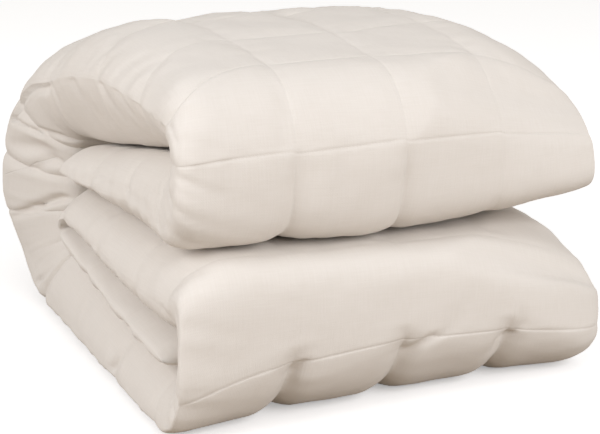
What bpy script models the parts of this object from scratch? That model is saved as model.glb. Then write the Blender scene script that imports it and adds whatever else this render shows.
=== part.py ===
"""Weighted blanket, quilted in squares and folded into a stack, as one padded solid.

The blanket is one long padded strip. Seen from its left end it runs from the free end of the
second layer forward, round the upper front fold, back over the top, down the back, forward
along the floor, round the lower front fold, back as the third layer, and round a small inner
fold into a tucked end. X is the width, -Y the front with the two big folds, +Z up.
"""

import math
from typing import NamedTuple

import bpy
import numpy as np

# Driving dimensions, in metres.
SQUARE = 0.102  # pitch of the quilted squares
COLUMNS = 4  # squares across the folded width
HALF_WIDTH = COLUMNS * SQUARE / 2
GAP = 0.003  # air left between two layers that lie on each other
END_ROUND = 0.040  # how far in from the ends the inner faces start to round off
TIP_ROUND = 0.020  # the same, at the two free ends of the strip
END_PINCH = 0.005  # how far the seams draw the ends in
CHANNEL_WIDTH = 0.5  # share of a half square that a sewn channel takes
UPPER_SEAM_HEIGHT = 0.238  # the stitch line along the upper front fold
UPPER_SEAM_ROW = 4  # its number, in squares along the strip
LOWER_SEAM_HEIGHT = 0.064  # the stitch line along the lower front fold

# Steps of the surface.
STEPS_ALONG = 5  # to a square, along the strip
STEPS_ACROSS = 4  # to a square, across the strip
STEPS_END = 3  # round each end
DENSE = 60  # points to a stretch of the outline, before it is divided into squares


class Level(NamedTuple):
    """Heights of the partings between layers, at one depth behind the front."""

    y: float
    tuck_low: float  # between the floor layer and the tucked end
    tuck_high: float  # between the tucked end and the third layer
    shelf: float  # between the third layer and the second
    parting: float  # between the second layer and the top layer
    top: float


LEVELS = (
    Level(0.03, 0.056, 0.089, 0.163, 0.238, 0.305),
    Level(0.12, 0.062, 0.095, 0.159, 0.227, 0.317),
    Level(0.20, 0.069, 0.106, 0.162, 0.213, 0.3225),
    Level(0.28, 0.079, 0.120, 0.166, 0.203, 0.3185),
    Level(0.36, 0.090, 0.132, 0.167, 0.196, 0.297),
)


class Turn(NamedTuple):
    """A fold: the depths where its outer curve starts and ends, and how far its faces reach.

    The fullness is that of its first and of its last half: 2 is an ellipse, more is boxier.
    """

    start: float
    end: float
    outer_reach: float
    inner_start: float
    inner_reach: float
    first_fullness: float
    last_fullness: float


UPPER_FOLD = Turn(0.055, 0.055, -0.011, 0.055, 0.045, 3.4, 1.86)
BACK_FOLD = Turn(0.330, 0.358, 0.518, 0.325, 0.342, 2.0, 2.0)
LOWER_FOLD = Turn(0.040, 0.040, -0.026, 0.033, 0.006, 2.55, 5.5)
INNER_FOLD = Turn(0.285, 0.285, 0.326, 0.280, 0.284, 2.2, 2.2)
SECOND_LAYER_END = 0.296
TUCKED_END = 0.012


class Stretch(NamedTuple):
    """One stretch of the strip: how its ends round off and how deep its channels are.

    A fullness of 2 is an ellipse, and more is boxier.
    """

    crest_right: float  # the right edge seam: 0 lies at the inner face, 1 at the outer face
    round_left: float
    left_fullness: float
    left_edge: float  # how bluntly the outer face meets the left edge seam
    left_under: float  # the inner face's fullness
    round_right: float
    right_fullness: float
    outer_depth: float
    inner_depth: float


SECOND_LAYER = Stretch(0.50, 0.045, 2.3, 1.35, 2.0, 0.050, 2.0, 0.002, 0.002)
UPPER_FRONT_LOW = Stretch(0.63, 0.025, 2.3, 2.3, 2.0, 0.300, 1.3, 0.006, 0.000)
UPPER_FRONT_HIGH = Stretch(0.30, 0.040, 2.8, 1.7, 1.6, 0.172, 1.05, 0.005, 0.000)
TOP_FRONT = Stretch(0.42, 0.100, 3.8, 1.2, 1.5, 0.080, 1.65, 0.006, 0.002)
TOP_BACK = Stretch(0.48, 0.100, 3.8, 1.2, 1.5, 0.113, 1.7, 0.007, 0.002)
BACK_HIGH = Stretch(0.55, 0.139, 3.2, 1.5, 1.9, 0.116, 2.0, 0.008, 0.003)
BACK_LOW = Stretch(0.60, 0.066, 2.3, 2.0, 1.8, 0.090, 2.0, 0.008, 0.003)
FLOOR_LAYER = Stretch(0.60, 0.046, 2.3, 1.8, 1.8, 0.060, 2.0, 0.006, 0.002)
LOWER_FRONT_LOW = Stretch(0.50, 0.025, 2.3, 2.3, 2.0, 0.035, 1.8, 0.009, 0.000)
LOWER_FRONT_HIGH = Stretch(0.15, 0.060, 2.0, 2.0, 2.0, 0.160, 1.15, 0.004, 0.000)
THIRD_LAYER = Stretch(0.50, 0.055, 2.2, 1.9, 2.2, 0.070, 2.0, 0.003, 0.002)
INNER_BACK = Stretch(0.50, 0.085, 1.8, 1.4, 1.8, 0.040, 2.0, 0.003, 0.000)
TUCKED = Stretch(0.50, 0.040, 2.3, 2.0, 1.5, 0.040, 2.0, 0.001, 0.001)


class EdgeSeam(NamedTuple):
    """Where the left edge seam lies, at a place that is counted in squares along the strip."""

    row: float
    share: float  # 0 is the inner face, 1 the outer face


LEFT_EDGE = (
    EdgeSeam(0.0, 0.80), EdgeSeam(2.2, 0.62), EdgeSeam(3.4, 0.82), EdgeSeam(4.2, 0.78),
    EdgeSeam(4.6, 0.58), EdgeSeam(5.0, 0.48), EdgeSeam(5.5, 0.54), EdgeSeam(6.0, 0.60),
    EdgeSeam(7.0, 0.60), EdgeSeam(8.0, 0.55), EdgeSeam(9.0, 0.62), EdgeSeam(10.0, 0.70),
    EdgeSeam(11.0, 0.80), EdgeSeam(16.0, 0.80), EdgeSeam(16.6, 0.88), EdgeSeam(17.4, 0.88),
    EdgeSeam(17.8, 0.70), EdgeSeam(18.2, 0.42), EdgeSeam(18.6, 0.36), EdgeSeam(19.2, 0.34),
    EdgeSeam(20.8, 0.32), EdgeSeam(21.6, 0.28), EdgeSeam(22.4, 0.42), EdgeSeam(25.0, 0.55),
)


class StitchLine(NamedTuple):
    """How far a cross seam wanders from its even place, in squares along the strip."""

    row: float
    first: float  # at the three seams between the columns
    middle: float
    third: float
    right: float  # at the right end
    left_lean: float  # how much further the left end leans
    pinch: float = 1.0  # how much of the usual draw the seam has on the ends


STITCH_LINES = (
    StitchLine(3.0, 0.00, 0.00, 0.00, 0.00, 0.00),
    StitchLine(4.0, 0.10, 0.15, 0.18, 0.12, -0.06),
    StitchLine(5.0, 0.03, 0.11, 0.12, 0.08, -0.52),
    StitchLine(6.0, -0.18, -0.17, 0.08, 0.10, -0.52),
    StitchLine(7.0, -0.15, -0.10, 0.00, 0.05, -0.50),
    StitchLine(8.0, -0.05, 0.00, 0.00, 0.00, -0.20),
    StitchLine(9.0, 0.00, 0.00, 0.00, 0.00, 0.30),
    StitchLine(10.0, 0.00, 0.00, 0.00, 0.00, 0.30),
    StitchLine(11.0, 0.00, 0.00, 0.00, 0.00, 0.12, 0.4),
    StitchLine(12.0, 0.00, 0.00, 0.00, 0.00, -0.115, 0.0),
    StitchLine(13.0, 0.00, 0.00, 0.00, 0.00, -0.35),
    StitchLine(14.0, 0.00, 0.00, 0.00, 0.00, -0.21, 0.0),
    StitchLine(15.0, 0.00, 0.00, 0.00, 0.00, -0.07),
    StitchLine(16.0, 0.00, 0.00, 0.00, 0.00, 0.00),
    StitchLine(17.0, -0.10, -0.02, -0.07, -0.14, -0.12),
    StitchLine(18.0, 0.14, 0.20, 0.20, 0.18, 0.00),
    StitchLine(19.0, 0.00, 0.00, 0.00, 0.00, 0.00),
)
LEAN_FULLNESS = 1.7  # how late towards the left end the lean sets in

# The stack isn't even. Towards the right end the shelf between the folds and the top are lower,
# the top sags towards the back left corner, the left end spreads out below and at the back, and
# the middle of the lower front fold lifts off the floor.
SHELF_DROP = 0.015
TOP_DROP = 0.017
CORNER_SAG = 0.053
LEFT_SPREAD = 0.016
BACK_SPREAD = 0.011
RIGHT_PULL = 0.004
FLOOR_PRESS = 0.0025  # how much the weight flattens the floor layer
FRONT_LIFT = 0.030
FRONT_LIFT_DEPTH = 0.09
FRONT_LIFT_HEIGHT = 0.12
FRONT_LIFT_FULLNESS = 3  # how evenly the lift holds over the width
STACK_HEIGHT = max(level.top for level in LEVELS)


def level_at(name: str, y: np.ndarray) -> np.ndarray:
    """The height of one parting at the depths y, as a smooth curve through LEVELS."""
    depths = [level.y for level in LEVELS]
    heights = [getattr(level, name) for level in LEVELS]
    return np.polyval(np.polyfit(depths, heights, len(LEVELS) - 1), y)


def arc(start: tuple, end: tuple, reach: float, turn: Turn) -> np.ndarray:
    """Half a superellipse from start to end, reaching the depth reach at its middle."""
    angle = np.linspace(-math.pi / 2, math.pi / 2, DENSE)
    fullness = np.where(angle < 0, turn.first_fullness, turn.last_fullness)
    across = np.abs(np.cos(angle)) ** (2 / fullness)
    along = np.sign(np.sin(angle)) * np.abs(np.sin(angle)) ** (2 / fullness)
    share = (along + 1) / 2
    base_y = start[0] + (end[0] - start[0]) * share
    z = start[1] + (end[1] - start[1]) * share
    return np.column_stack([base_y + (reach - base_y) * across, z])


def run(first: float, last: float, heights) -> np.ndarray:
    """A stretch that follows a parting from one depth to another."""
    y = np.linspace(first, last, DENSE)
    return np.column_stack([y, heights(y)])


def fold(turn: Turn, outer_levels: tuple, inner_levels: tuple) -> tuple:
    """The outer and inner curves of a fold between two heights."""
    outer = arc((turn.start, outer_levels[0]), (turn.end, outer_levels[1]), turn.outer_reach,
                turn)
    inner = arc((turn.inner_start, inner_levels[0]), (turn.inner_start, inner_levels[1]),
                turn.inner_reach, turn)
    return outer, inner


def outline() -> tuple:
    """The strip's outer and inner outlines in the Y-Z plane, with each point's Stretch."""
    half = GAP / 2

    def at(name, y, side):
        return float(level_at(name, np.array(y))) + side * half

    upper, back, lower, inner = UPPER_FOLD, BACK_FOLD, LOWER_FOLD, INNER_FOLD
    pieces = [
        (run(SECOND_LAYER_END, upper.start, lambda y: level_at("shelf", y) + half),
         run(SECOND_LAYER_END, upper.inner_start, lambda y: level_at("parting", y) - half),
         SECOND_LAYER),
        (*fold(upper, (at("shelf", upper.start, 1), at("top", upper.end, 0)),
               (at("parting", upper.inner_start, -1), at("parting", upper.inner_start, 1))),
         UPPER_FRONT_LOW, UPPER_FRONT_HIGH),
        (run(upper.end, back.start, lambda y: level_at("top", y)),
         run(upper.inner_start, back.inner_start, lambda y: level_at("parting", y) + half),
         TOP_FRONT, TOP_BACK),
        (*fold(back, (at("top", back.start, 0), 0.0),
               (at("parting", back.inner_start, 1), at("tuck_low", back.inner_start, -1))),
         BACK_HIGH, BACK_LOW),
        (run(back.end, lower.start, lambda y: 0 * y),
         run(back.inner_start, lower.inner_start, lambda y: level_at("tuck_low", y) - half),
         FLOOR_LAYER),
        (*fold(lower, (0.0, at("shelf", lower.end, -1)),
               (at("tuck_low", lower.inner_start, -1), at("tuck_high", lower.inner_start, 1))),
         LOWER_FRONT_LOW, LOWER_FRONT_HIGH),
        (run(lower.end, inner.start, lambda y: level_at("shelf", y) - half),
         run(lower.inner_start, inner.inner_start, lambda y: level_at("tuck_high", y) + half),
         THIRD_LAYER),
        (*fold(inner, (at("shelf", inner.start, -1), at("tuck_low", inner.end, 1)),
               (at("tuck_high", inner.inner_start, 1), at("tuck_high", inner.inner_start, -1))),
         INNER_BACK),
        (run(inner.end, TUCKED_END, lambda y: level_at("tuck_low", y) + half),
         run(inner.inner_start, TUCKED_END, lambda y: level_at("tuck_high", y) - half),
         TUCKED),
    ]
    outer = np.vstack([piece[0][:-1] for piece in pieces])
    inner = np.vstack([piece[1][:-1] for piece in pieces])
    late = np.arange(DENSE - 1)[:, None] > DENSE // 2
    finish = np.vstack([np.where(late, piece[-1], piece[2]) for piece in pieces])
    return outer, inner, finish


def soften(values: np.ndarray, reach: int) -> np.ndarray:
    """A moving average along the strip, which leaves its two ends where they are."""
    padded = np.pad(values, ((reach, reach), (0, 0)), mode="edge")
    kernel = np.hanning(2 * reach + 3)[1:-1]
    kernel /= kernel.sum()
    return np.column_stack([np.convolve(column, kernel, "valid") for column in padded.T])


def rows_along(outer: np.ndarray) -> tuple:
    """The length at each point of the outline, and the place and number of each row of points.

    A number counts in squares along the strip, and is whole on a stitch line.
    """
    lengths = np.r_[0, np.cumsum(np.linalg.norm(np.diff(outer, axis=0), axis=1))]
    stretch = np.arange(len(outer)) // (DENSE - 1)
    in_upper = np.flatnonzero(stretch == 1)
    in_lower = np.flatnonzero(stretch == 5)
    upper = in_upper[np.argmin(np.abs(outer[in_upper, 1] - UPPER_SEAM_HEIGHT))]
    lower = in_lower[np.argmin(np.abs(outer[in_lower, 1] - LOWER_SEAM_HEIGHT))]
    marks = [lengths[0], lengths[upper], lengths[lower], lengths[-1]]
    places, numbers = [], []
    number = UPPER_SEAM_ROW - round((marks[1] - marks[0]) / SQUARE)
    for first, last in zip(marks, marks[1:]):
        squares = round((last - first) / SQUARE)
        steps = squares * STEPS_ALONG
        places.append(first + (last - first) * np.arange(steps) / steps)
        numbers.append(number + np.arange(steps) / STEPS_ALONG)
        number += squares
    places.append([lengths[-1]])
    numbers.append([number])
    return lengths, np.concatenate(places), np.concatenate(numbers)


def wander(rows: np.ndarray, x: np.ndarray) -> np.ndarray:
    """How far the stitching is shifted along the strip, in squares, at each row and column."""
    marks = [line.row for line in STITCH_LINES]

    def along(name):
        return np.interp(rows, marks, [getattr(line, name) for line in STITCH_LINES])

    knots = np.array([-SQUARE, 0.0, SQUARE, HALF_WIDTH])
    table = np.stack([along("first"), along("middle"), along("third"), along("right")])
    shift = np.stack([np.interp(x, knots, column) for column in table.T])
    lean = np.clip((-SQUARE - x) / SQUARE, 0, 1) ** LEAN_FULLNESS
    return shift + along("left_lean")[:, None] * lean


def channel(phase: np.ndarray) -> np.ndarray:
    """1 on a stitch line, 0 over the middle of a square; phase runs from 0 to 1 over it."""
    from_seam = np.abs((phase + 0.5) % 1 - 0.5) * 2
    return np.clip(1 - from_seam / CHANNEL_WIDTH, 0, 1) ** 2


def columns_across() -> tuple:
    """The x of each column of points and its place in its square."""
    flat = HALF_WIDTH - END_ROUND
    middle = np.linspace(-HALF_WIDTH, HALF_WIDTH, COLUMNS * STEPS_ACROSS + 1)
    middle = middle[np.abs(middle) < flat - SQUARE / STEPS_ACROSS / 3]
    turn = np.linspace(0, math.pi / 2, STEPS_END + 1)
    right = flat + END_ROUND * np.sin(turn)
    x = np.concatenate([-right[::-1], middle, right])
    return x, (x + HALF_WIDTH) / SQUARE % 1


def rounded(x: np.ndarray, reach: np.ndarray, fullness: np.ndarray,
            edge: np.ndarray) -> np.ndarray:
    """The share of its thickness that a face keeps at x, if it rounds off over reach."""
    share = np.clip((np.abs(x) - HALF_WIDTH + reach) / reach, 0, 1)
    return (1 - share**fullness) ** (1 / edge)


def settle(points: np.ndarray) -> np.ndarray:
    """The uneven way in which the stack lies: what is higher drops more, the floor not at all."""
    right = (points[:, 0] + HALF_WIDTH) / (2 * HALF_WIDTH)
    back = np.clip(points[:, 1] / BACK_FOLD.outer_reach, 0, 1)
    height = np.clip(points[:, 2] / STACK_HEIGHT, 0, 1)
    drop = SHELF_DROP * right * np.sin(math.pi * height)
    drop += TOP_DROP * right * height
    drop += CORNER_SAG * (1 - right) ** 2 * back**2 * height
    front = np.clip(1 - (points[:, 1] - LOWER_FOLD.outer_reach) / FRONT_LIFT_DEPTH, 0, 1)
    low = np.clip(1 - points[:, 2] / FRONT_LIFT_HEIGHT, 0, 1)
    middle = np.clip(1 - np.abs(2 * right - 1) ** FRONT_LIFT_FULLNESS, 0, 1)
    drop -= FRONT_LIFT * middle * front**2 * low
    spread = LEFT_SPREAD * (1 - right) * (1 - height) * (1 - back / 2)
    spread += BACK_SPREAD * (1 - right) * back * np.clip(5 * height - 0.8, 0, 1)
    spread += RIGHT_PULL * right * (1 - height)
    moved = points - np.column_stack([spread, 0 * drop, drop + FLOOR_PRESS])
    moved[:, 2] = np.maximum(moved[:, 2], 0)
    return moved


def blanket_surface() -> tuple:
    """Points and faces of the closed strip."""
    outer, inner, finish = outline()
    outer = soften(outer, DENSE // 12)
    finish = soften(finish, DENSE // 4)
    lengths, places, rows = rows_along(outer)
    x, column_phase = columns_across()
    shifted = rows[:, None] + wander(rows, x)
    grid = np.interp(shifted, rows, places)

    def sample(values):
        return np.stack([np.interp(grid, lengths, column) for column in values.T], axis=-1)

    outer, inner, finish = sample(outer), sample(inner), sample(finish)
    fields = dict(zip(Stretch._fields, np.moveaxis(finish, 2, 0)))
    from_tip = np.minimum(grid, lengths[-1] - grid)
    tip = np.sqrt(1 - np.clip(1 - from_tip / TIP_ROUND, 0, 1) ** 2)
    marks, shares = np.array(LEFT_EDGE).T
    crest_left = soften(np.interp(shifted, marks, shares), STEPS_ALONG // 4)
    crest_share = np.where(x < 0, crest_left, fields["crest_right"])
    crest = inner + crest_share[..., None] * (outer - inner)
    seam = channel(rows)[:, None]
    # The end squares have a channel only on their inner side: their outer side is the end.
    side = channel(np.where(np.abs(x) > HALF_WIDTH - SQUARE / 2, 0.5, column_phase))
    draw = np.interp(rows, [line.row for line in STITCH_LINES],
                     [line.pinch for line in STITCH_LINES])[:, None]
    spread = x - np.sign(x) * END_PINCH * draw * seam * (np.abs(x) / HALF_WIDTH) ** 6
    round_over = np.where(x < 0, fields["round_left"], fields["round_right"])
    round_under = np.full(grid.shape, END_ROUND)
    full_over = np.where(x < 0, fields["left_fullness"], fields["right_fullness"])
    full_under = np.where(x < 0, fields["left_under"], fields["right_fullness"])
    blunt = np.where(x < 0, fields["left_edge"], fields["right_fullness"])
    grids = []
    for side_line, depth, *shape in (
            (outer, fields["outer_depth"], round_over, full_over, blunt),
            (inner, fields["inner_depth"], round_under, full_under, full_under)):
        end = rounded(x, *shape)
        reach = side_line - crest
        thick = np.linalg.norm(reach, axis=2)
        dent = depth * np.maximum(seam, side) * end
        place = crest + reach * (tip * end * (1 - dent / thick))[..., None]
        grids.append(np.concatenate([spread[..., None], place], axis=2))
    return closed_grid(*grids)


def closed_grid(upper: np.ndarray, lower: np.ndarray) -> tuple:
    """Joins two grids that share their rim into one closed surface."""
    rows, columns = upper.shape[:2]
    points = list(upper.reshape(-1, 3))
    index_upper = np.arange(rows * columns).reshape(rows, columns)
    index_lower = index_upper.copy()
    for i in range(1, rows - 1):
        for j in range(1, columns - 1):
            index_lower[i, j] = len(points)
            points.append(lower[i, j])
    faces = []
    for i in range(rows - 1):
        for j in range(columns - 1):
            a, b, c, d = (index_upper[i, j], index_upper[i, j + 1], index_upper[i + 1, j + 1],
                          index_upper[i + 1, j])
            faces.append((a, b, c, d))
            a, b, c, d = (index_lower[i, j], index_lower[i, j + 1], index_lower[i + 1, j + 1],
                          index_lower[i + 1, j])
            faces.append((d, c, b, a))
    return np.array(points), faces


def cloth_material() -> bpy.types.Material:
    """Undyed cotton and linen cloth."""
    material = bpy.data.materials.new("ivory_cloth")
    material.use_nodes = True
    shader = material.node_tree.nodes["Principled BSDF"]
    shader.inputs["Base Color"].default_value = (0.80, 0.75, 0.68, 1.0)
    shader.inputs["Roughness"].default_value = 0.92
    shader.inputs["Metallic"].default_value = 0.0
    return material


def make_blanket() -> bpy.types.Object:
    """The folded blanket, standing on z = 0 with its middle over the origin."""
    points, faces = blanket_surface()
    points = settle(points)
    low, high = points.min(axis=0), points.max(axis=0)
    points -= [(low[0] + high[0]) / 2, (low[1] + high[1]) / 2, low[2]]
    mesh = bpy.data.meshes.new("blanket")
    mesh.from_pydata(points.tolist(), [], faces)
    mesh.validate()
    mesh.shade_smooth()
    mesh.materials.append(cloth_material())
    blanket = bpy.data.objects.new("blanket", mesh)
    bpy.context.scene.collection.objects.link(blanket)
    return blanket


def main() -> None:
    """Clears the scene and makes the blanket."""
    for existing in list(bpy.data.objects):
        bpy.data.objects.remove(existing, do_unlink=True)
    make_blanket()


if __name__ == "__main__":
    main()
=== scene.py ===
"""A weighted blanket of ivory cloth, quilted in squares and folded into a stack.

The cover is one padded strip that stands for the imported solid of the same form. It is built
finer than the solid and adds the puckers along the sewn channels, the gathers at the ends of the
layers, and the creases and drag folds of a heavy filled cloth. Sizes are in metres. X is the
width, -Y the front with the two big folds, +Z up.
"""

from __future__ import annotations

import logging
import math
from dataclasses import dataclass, field, fields
from enum import Enum

import bpy
import numpy as np
from mathutils import Matrix, Vector


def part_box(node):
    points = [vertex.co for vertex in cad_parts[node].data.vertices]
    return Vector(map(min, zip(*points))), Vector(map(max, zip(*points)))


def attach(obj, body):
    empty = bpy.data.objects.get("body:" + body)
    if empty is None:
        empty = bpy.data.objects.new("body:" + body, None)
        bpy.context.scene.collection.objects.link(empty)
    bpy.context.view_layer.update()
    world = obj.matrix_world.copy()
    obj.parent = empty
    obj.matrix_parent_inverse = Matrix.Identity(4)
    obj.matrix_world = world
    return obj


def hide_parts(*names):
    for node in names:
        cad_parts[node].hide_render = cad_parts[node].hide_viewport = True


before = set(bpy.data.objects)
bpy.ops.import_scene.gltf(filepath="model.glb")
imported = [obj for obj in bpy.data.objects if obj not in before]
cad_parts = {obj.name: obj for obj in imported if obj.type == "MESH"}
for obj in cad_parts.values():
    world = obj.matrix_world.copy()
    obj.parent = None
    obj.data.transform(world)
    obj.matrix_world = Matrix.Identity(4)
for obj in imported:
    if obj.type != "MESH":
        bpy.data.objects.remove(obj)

log = logging.getLogger("weighted_blanket")
Array = np.ndarray
MILLIMETRE = 0.001
TINY = 1e-6


class Face(Enum):
    """The two faces of the padded strip."""

    OUTER = 0
    INNER = 1


@dataclass(frozen=True)
class Level:
    """Heights of the partings between the layers, at one depth behind the front."""

    y: float
    tuck_low: float
    tuck_high: float
    shelf: float
    parting: float
    top: float


@dataclass(frozen=True)
class Turn:
    """A fold: the depths where its curves start and end, and how far its faces reach.

    The fullness is that of its first and of its last half: 2 is an ellipse, more is boxier.
    """

    start: float
    end: float
    outer_reach: float
    inner_start: float
    inner_reach: float
    first_fullness: float
    last_fullness: float


@dataclass(frozen=True)
class Stretch:
    """The finish of one stretch of the strip.

    The crest says where the right edge seam lies, from 0 at the inner face to 1 at the outer
    face. The rounds say how far in from the ends the outer face starts to round off, the
    fullness how boxy it is there, and the left edge how bluntly it meets the edge seam: less
    than the fullness leaves a ridge. Left under is the inner face's fullness. The depths and
    the width are those of the sewn channels, slack is how loosely the cover lies, line how
    clearly its stitching shows, and gather how much the cloth gathers along the left edge
    seam.
    """

    crest_right: float
    round_left: float
    left_fullness: float
    left_edge: float
    left_under: float
    round_right: float
    right_fullness: float
    row_depth: float
    row_width: float
    column_depth: float
    inner_depth: float
    slack: float
    line: float
    gather: float

    def values(self) -> list[float]:
        """The finish as a plain row of numbers."""
        return [getattr(self, item.name) for item in fields(self)]


FINISH = {item.name: index for index, item in enumerate(fields(Stretch))}

SECOND_LAYER = Stretch(
    0.50, 0.045, 2.3, 1.35, 2.0, 0.050, 2.0, 0.0012, 0.50, 0.0012, 0.001, 0.5, 0.0, 0.8)
UPPER_FRONT_LOW = Stretch(
    0.63, 0.025, 2.3, 2.3, 2.0, 0.300, 1.3, 0.0005, 0.06, 0.0060, 0.0, 0.35, 1.0, 1.5)
UPPER_FRONT_HIGH = Stretch(
    0.30, 0.040, 2.8, 1.7, 1.6, 0.172, 1.05, 0.0005, 0.08, 0.0010, 0.0, 0.25, 1.0, 1.0)
TOP_FRONT = Stretch(
    0.42, 0.100, 3.8, 1.2, 1.5, 0.080, 1.65, 0.0014, 0.45, 0.0018, 0.0, 0.4, 0.35, 0.9)
TOP_BACK = Stretch(
    0.48, 0.100, 3.8, 1.2, 1.5, 0.113, 1.7, 0.0034, 0.50, 0.0040, 0.0, 0.6, 0.35, 0.7)
BACK_HIGH = Stretch(
    0.55, 0.139, 3.2, 1.5, 1.9, 0.116, 2.0, 0.0060, 0.50, 0.0060, 0.003, 1.0, 0.7, 0.4)
BACK_LOW = Stretch(
    0.60, 0.066, 2.3, 2.0, 1.8, 0.090, 2.0, 0.0070, 0.50, 0.0070, 0.004, 1.0, 0.7, 0.2)
FLOOR_LAYER = Stretch(
    0.60, 0.046, 2.3, 1.8, 1.8, 0.060, 2.0, 0.0060, 0.50, 0.0060, 0.001, 0.5, 0.5, 0.8)
LOWER_FRONT_LOW = Stretch(
    0.50, 0.025, 2.3, 2.3, 2.0, 0.035, 1.8, 0.0005, 0.06, 0.0140, 0.0, 0.35, 1.0, 1.2)
LOWER_FRONT_HIGH = Stretch(
    0.15, 0.060, 2.0, 2.0, 2.0, 0.160, 1.15, 0.0003, 0.10, 0.0010, 0.0, 0.25, 0.3, 1.0)
THIRD_LAYER = Stretch(
    0.50, 0.055, 2.2, 1.9, 2.2, 0.070, 2.0, 0.0012, 0.40, 0.0012, 0.0, 0.4, 0.0, 0.8)
INNER_BACK = Stretch(
    0.50, 0.085, 1.8, 1.4, 1.8, 0.040, 2.0, 0.0020, 0.50, 0.0020, 0.0, 0.7, 0.0, 1.2)
TUCKED = Stretch(
    0.50, 0.040, 2.3, 2.0, 1.5, 0.040, 2.0, 0.0010, 0.50, 0.0010, 0.0, 0.3, 0.0, 1.6)


@dataclass(frozen=True)
class EdgeSeam:
    """Where the left edge seam lies at one cross seam: 0 is the inner face, 1 the outer."""

    row: float
    share: float


LEFT_EDGE = tuple(EdgeSeam(*place) for place in (
    (0.0, 0.80), (2.2, 0.62), (3.4, 0.82), (4.2, 0.78), (4.6, 0.58), (5.0, 0.48), (5.5, 0.54),
    (6.0, 0.60), (7.0, 0.60), (8.0, 0.55), (9.0, 0.62), (10.0, 0.70), (11.0, 0.80), (16.0, 0.80),
    (16.6, 0.88), (17.4, 0.88), (17.8, 0.70), (18.2, 0.42), (18.6, 0.36), (19.2, 0.34),
    (20.6, 0.32), (21.1, 0.10), (21.8, 0.12), (22.5, 0.42), (25.0, 0.55),
))


@dataclass(frozen=True)
class StitchLine:
    """How far a cross seam wanders from its even place, in squares along the strip.

    The wander is given at the three seams between the columns and at the right end. The
    left end leans further, by its own amount. The pinch is how much of the usual draw the
    seam has on the ends.
    """

    row: float
    first: float = 0.0
    middle: float = 0.0
    third: float = 0.0
    right: float = 0.0
    left_lean: float = 0.0
    pinch: float = 1.0


STITCH_LINES = (
    StitchLine(3.0),
    StitchLine(4.0, 0.10, 0.15, 0.18, 0.12, -0.06),
    StitchLine(5.0, 0.03, 0.11, 0.12, 0.08, -0.52),
    StitchLine(6.0, -0.18, -0.17, 0.08, 0.10, -0.52),
    StitchLine(7.0, -0.15, -0.10, 0.00, 0.05, -0.50),
    StitchLine(8.0, -0.05, left_lean=-0.20),
    StitchLine(9.0, left_lean=0.30),
    StitchLine(10.0, left_lean=0.30),
    StitchLine(11.0, left_lean=0.12, pinch=0.4),
    StitchLine(12.0, left_lean=-0.115, pinch=0.0),
    StitchLine(13.0, left_lean=-0.35),
    StitchLine(14.0, left_lean=-0.21, pinch=0.0),
    StitchLine(15.0, left_lean=-0.07),
    StitchLine(16.0),
    StitchLine(17.0, -0.10, -0.02, -0.07, -0.14, -0.12),
    StitchLine(18.0, 0.14, 0.20, 0.20, 0.18),
    StitchLine(19.0),
)


@dataclass(frozen=True)
class EndSeam:
    """One place of the cross seam that shows on the left end of the back."""

    inward: float
    row: float


END_SEAM = (EndSeam(0.0, 10.36), EndSeam(0.010, 10.33), EndSeam(0.051, 10.10),
            EndSeam(0.084, 9.74), EndSeam(0.097, 9.52), EndSeam(0.140, 9.30))


@dataclass(frozen=True)
class Crease:
    """One crease or drag fold, laid where the cloth is pulled.

    It runs from one place to another. A place is given by its distance along the strip, in
    squares, and by how far it lies in from the left edge seam over the face. That and the
    width and heights are in millimetres. The crease sinks where its height is below 0, changes
    to its last height towards its second end, and pushes up a lip on both sides.
    """

    row: float
    inward: float
    last_row: float
    last_inward: float
    width: float
    height: float
    last_height: float


def laid(*rows: tuple[float, ...]) -> tuple[Crease, ...]:
    """Creases from plain rows of their fields."""
    return tuple(Crease(*row) for row in rows)


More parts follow.
